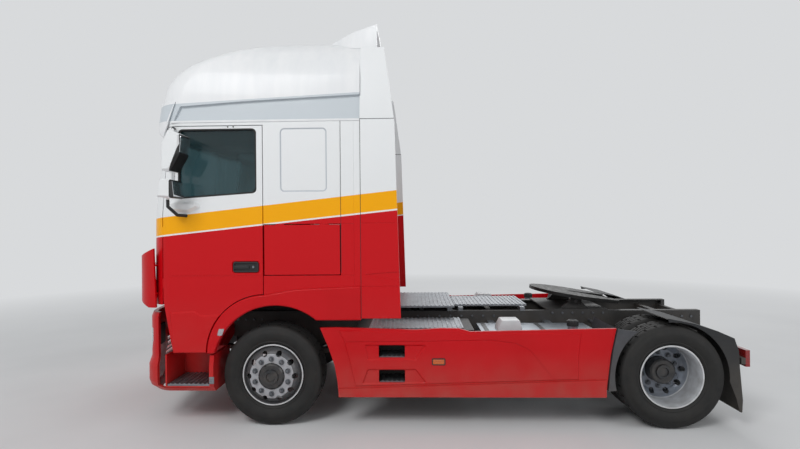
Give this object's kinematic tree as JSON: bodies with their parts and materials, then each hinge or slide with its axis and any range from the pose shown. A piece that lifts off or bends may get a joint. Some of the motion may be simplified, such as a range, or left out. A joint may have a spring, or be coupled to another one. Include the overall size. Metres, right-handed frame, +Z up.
{
  "type": "semi truck tractor unit",
  "caption": "Two-axle road tractor with a high-roof sleeper cab over the engine, side skirts and a coupling plate for a semi-trailer.",
  "frame": {"origin": "on the ground under the middle of the vehicle's length and width", "axes": "+X forward, +Y to the vehicle's left, +Z up"},
  "size_m": [5.9198, 3.12, 3.949],
  "materials": {
    "frame_paint": "satin",
    "cast_metal": "painted cast",
    "aluminium": "brushed",
    "rubber": "matt",
    "red_paint": "gloss",
    "lamp_lens": "clear and red lenses",
    "dark_plastic": "grained",
    "body_paint": "gloss, white over a yellow stripe over red",
    "white_paint": "gloss",
    "glass": "tinted",
    "seat_fabric": "woven",
    "bed_fabric": "quilted",
    "black_steel": "greased",
    "white_plastic": "gloss",
    "tyre": "matt",
    "rim_steel": "silver"
  },
  "bodies": {
    "chassis": {"chassis_frame": "frame_paint", "engine_block": "cast_metal", "gearbox": "cast_metal", "propeller_shaft": "frame_paint", "radiator": "aluminium", "front_axle_beam": "cast_metal", "front_springs": "frame_paint", "rear_axle": "cast_metal", "rear_air_springs": "rubber", "bumper": "red_paint", "lamps": "lamp_lens", "step_wells": "red_paint", "step_treads": "aluminium", "fuel_tanks": "aluminium", "battery_box": "dark_plastic", "silencer_box": "aluminium", "side_skirts": "red_paint", "catwalk": "aluminium", "rear_mudguards": "dark_plastic", "fifth_wheel_base": "frame_paint"},
    "cab": {"cab_floor": "dark_plastic", "cab_sides": "body_paint", "cab_rear_wall": "white_paint", "cab_front_frame": "body_paint", "cab_roof": "white_paint", "roof_spoiler": "white_paint", "sun_visor": "white_paint", "windscreen": "glass", "corner_deflectors": "red_paint", "wheel_flares": "red_paint", "side_collars": "body_paint", "dashboard": "dark_plastic", "steering_wheel": "dark_plastic", "seats": "seat_fabric", "bunk_box": "dark_plastic", "bunk_mattress": "bed_fabric"},
    "front_lid": {"front_lid": "body_paint"},
    "fifth_wheel": {"fifth_wheel_plate": "black_steel"},
    "door_left": {"door_left": "body_paint", "door_glass_left": "glass", "mirror_left": "white_plastic"},
    "locker_lid_left": {"locker_lid_left": "body_paint"},
    "knuckle_left": {"knuckle_left": "cast_metal"},
    "wheel_front_left": {"tyre_front_left": "tyre", "rim_front_left": "rim_steel"},
    "wheel_rear_left": {"tyre_rear_left": "tyre", "rim_rear_left": "rim_steel"},
    "door_right": {"door_right": "body_paint", "door_glass_right": "glass", "mirror_right": "white_plastic"},
    "locker_lid_right": {"locker_lid_right": "body_paint"},
    "knuckle_right": {"knuckle_right": "cast_metal"},
    "wheel_front_right": {"tyre_front_right": "tyre", "rim_front_right": "rim_steel"},
    "wheel_rear_right": {"tyre_rear_right": "tyre", "rim_rear_right": "rim_steel"}
  },
  "joints": [
    {"name": "cab_tilt", "type": "hinge", "parent": "chassis", "child": "cab", "pos_m": [2.81, 0, 1], "axis": [0, 1, 0], "range_deg": [0, 60]},
    {"name": "front_lid_hinge", "type": "hinge", "parent": "cab", "child": "front_lid", "pos_m": [2.896, 0, 1.986], "axis": [0, -1, 0], "range_deg": [0, 75]},
    {"name": "fifth_wheel_tilt", "type": "hinge", "parent": "chassis", "child": "fifth_wheel", "pos_m": [-1.595, 0, 1.08], "axis": [0, 1, 0], "range_deg": [0, 20]},
    {"name": "door_left_hinge", "type": "hinge", "parent": "cab", "child": "door_left", "pos_m": [2.6205, 1.2275, 1.6], "axis": [0, 0, -1], "range_deg": [0, 80]},
    {"name": "locker_lid_left_hinge", "type": "hinge", "parent": "cab", "child": "locker_lid_left", "pos_m": [1.28, 1.242, 1.9545], "axis": [1, 0, 0], "range_deg": [0, 80]},
    {"name": "steer_left", "type": "hinge", "parent": "chassis", "child": "knuckle_left", "pos_m": [1.58, 0.93, 0.49], "axis": [0, 0, 1], "range_deg": [-40, 40]},
    {"name": "wheel_front_left_spin", "type": "hinge", "parent": "knuckle_left", "child": "wheel_front_left", "pos_m": [1.58, 1.025, 0.49], "axis": [0, 1, 0], "continuous": true},
    {"name": "wheel_rear_left_spin", "type": "hinge", "parent": "chassis", "child": "wheel_rear_left", "pos_m": [-2.22, 0.9, 0.49], "axis": [0, 1, 0], "continuous": true},
    {"name": "door_right_hinge", "type": "hinge", "parent": "cab", "child": "door_right", "pos_m": [2.6205, -1.2275, 1.6], "axis": [0, 0, 1], "range_deg": [0, 80]},
    {"name": "locker_lid_right_hinge", "type": "hinge", "parent": "cab", "child": "locker_lid_right", "pos_m": [1.28, -1.242, 1.9545], "axis": [-1, 0, 0], "range_deg": [0, 80]},
    {"name": "steer_right", "type": "hinge", "parent": "chassis", "child": "knuckle_right", "pos_m": [1.58, -0.93, 0.49], "axis": [0, 0, 1], "range_deg": [-40, 40]},
    {"name": "wheel_front_right_spin", "type": "hinge", "parent": "knuckle_right", "child": "wheel_front_right", "pos_m": [1.58, -1.025, 0.49], "axis": [0, 1, 0], "continuous": true},
    {"name": "wheel_rear_right_spin", "type": "hinge", "parent": "chassis", "child": "wheel_rear_right", "pos_m": [-2.22, -0.9, 0.49], "axis": [0, 1, 0], "continuous": true}
  ],
  "couplings": [
    {"joint": "steer_right", "follows": "steer_left", "ratio": 1}
  ]
}
